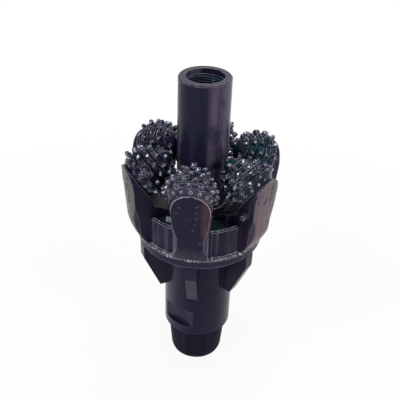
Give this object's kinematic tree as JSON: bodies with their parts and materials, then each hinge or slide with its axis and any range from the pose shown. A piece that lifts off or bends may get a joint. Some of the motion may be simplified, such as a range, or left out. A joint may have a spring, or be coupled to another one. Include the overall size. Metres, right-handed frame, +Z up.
{
  "type": "rock reamer",
  "caption": "Horizontal-drilling hole opener: threaded pin body, ring of welded legs with tilted roller cones set with carbide inserts, and a pilot stem with a tapered box end",
  "frame": {"origin": "on the tool's axis at the end face of the lower pin, which is the centre of the bottom of the bounding box", "axes": "+Z runs up the tool from the pin to the box end; leg 1 points to -Y and the legs are numbered anticlockwise seen from above"},
  "size_m": [0.421, 0.446, 0.935],
  "materials": {
    "body_paint": "gloss dark paint over turned steel",
    "stem_paint": "gloss dark paint over turned steel",
    "plate_paint": "gloss dark paint over plate",
    "leg_paint": "gloss dark paint over forged steel",
    "cone_paint": "gloss dark paint over forged steel",
    "carbide": "painted carbide",
    "bearing_steel": "hardened and ground",
    "bearing_bronze": "turned bronze",
    "seal_rubber": "moulded rubber",
    "plug_steel": "painted steel"
  },
  "bodies": {
    "body": {"main_body": "body_paint", "pilot_stem": "stem_paint", "ring_plate": "plate_paint", "ball_plugs": "leg_paint", "retaining_balls": "bearing_steel", "shirttail_buttons": "carbide", "reservoir_plugs": "plug_steel", "gusset_1": "plate_paint", "skirt_panel_1": "plate_paint", "deck_plate_1": "plate_paint", "leg_1": "leg_paint", "gusset_2": "plate_paint", "skirt_panel_2": "plate_paint", "deck_plate_2": "plate_paint", "leg_2": "leg_paint", "gusset_3": "plate_paint", "skirt_panel_3": "plate_paint", "deck_plate_3": "plate_paint", "leg_3": "leg_paint", "gusset_4": "plate_paint", "skirt_panel_4": "plate_paint", "deck_plate_4": "plate_paint", "leg_4": "leg_paint", "gusset_5": "plate_paint", "skirt_panel_5": "plate_paint", "deck_plate_5": "plate_paint", "leg_5": "leg_paint", "gusset_6": "plate_paint", "skirt_panel_6": "plate_paint", "deck_plate_6": "plate_paint", "leg_6": "leg_paint"},
    "cone_1": {"cone_shell_1": "cone_paint", "cone_inserts_1": "carbide", "bearing_bush_1": "bearing_bronze", "seal_ring_1": "seal_rubber"},
    "cone_2": {"cone_shell_2": "cone_paint", "cone_inserts_2": "carbide", "bearing_bush_2": "bearing_bronze", "seal_ring_2": "seal_rubber"},
    "cone_3": {"cone_shell_3": "cone_paint", "cone_inserts_3": "carbide", "bearing_bush_3": "bearing_bronze", "seal_ring_3": "seal_rubber"},
    "cone_4": {"cone_shell_4": "cone_paint", "cone_inserts_4": "carbide", "bearing_bush_4": "bearing_bronze", "seal_ring_4": "seal_rubber"},
    "cone_5": {"cone_shell_5": "cone_paint", "cone_inserts_5": "carbide", "bearing_bush_5": "bearing_bronze", "seal_ring_5": "seal_rubber"},
    "cone_6": {"cone_shell_6": "cone_paint", "cone_inserts_6": "carbide", "bearing_bush_6": "bearing_bronze", "seal_ring_6": "seal_rubber"}
  },
  "joints": [
    {"name": "cone_1_roll", "type": "hinge", "parent": "body", "child": "cone_1", "pos_m": [-0.007, -0.1686, 0.6733], "axis": [0, 0.829, 0.5592], "continuous": true},
    {"name": "cone_2_roll", "type": "hinge", "parent": "body", "child": "cone_2", "pos_m": [0.14251, -0.09036, 0.6733], "axis": [-0.718, 0.4145, 0.5592], "continuous": true},
    {"name": "cone_3_roll", "type": "hinge", "parent": "body", "child": "cone_3", "pos_m": [0.14951, 0.07824, 0.6733], "axis": [-0.718, -0.4145, 0.5592], "continuous": true},
    {"name": "cone_4_roll", "type": "hinge", "parent": "body", "child": "cone_4", "pos_m": [0.007, 0.1686, 0.6733], "axis": [0, -0.829, 0.5592], "continuous": true},
    {"name": "cone_5_roll", "type": "hinge", "parent": "body", "child": "cone_5", "pos_m": [-0.14251, 0.09036, 0.6733], "axis": [0.718, -0.4145, 0.5592], "continuous": true},
    {"name": "cone_6_roll", "type": "hinge", "parent": "body", "child": "cone_6", "pos_m": [-0.14951, -0.07824, 0.6733], "axis": [0.718, 0.4145, 0.5592], "continuous": true}
  ]
}
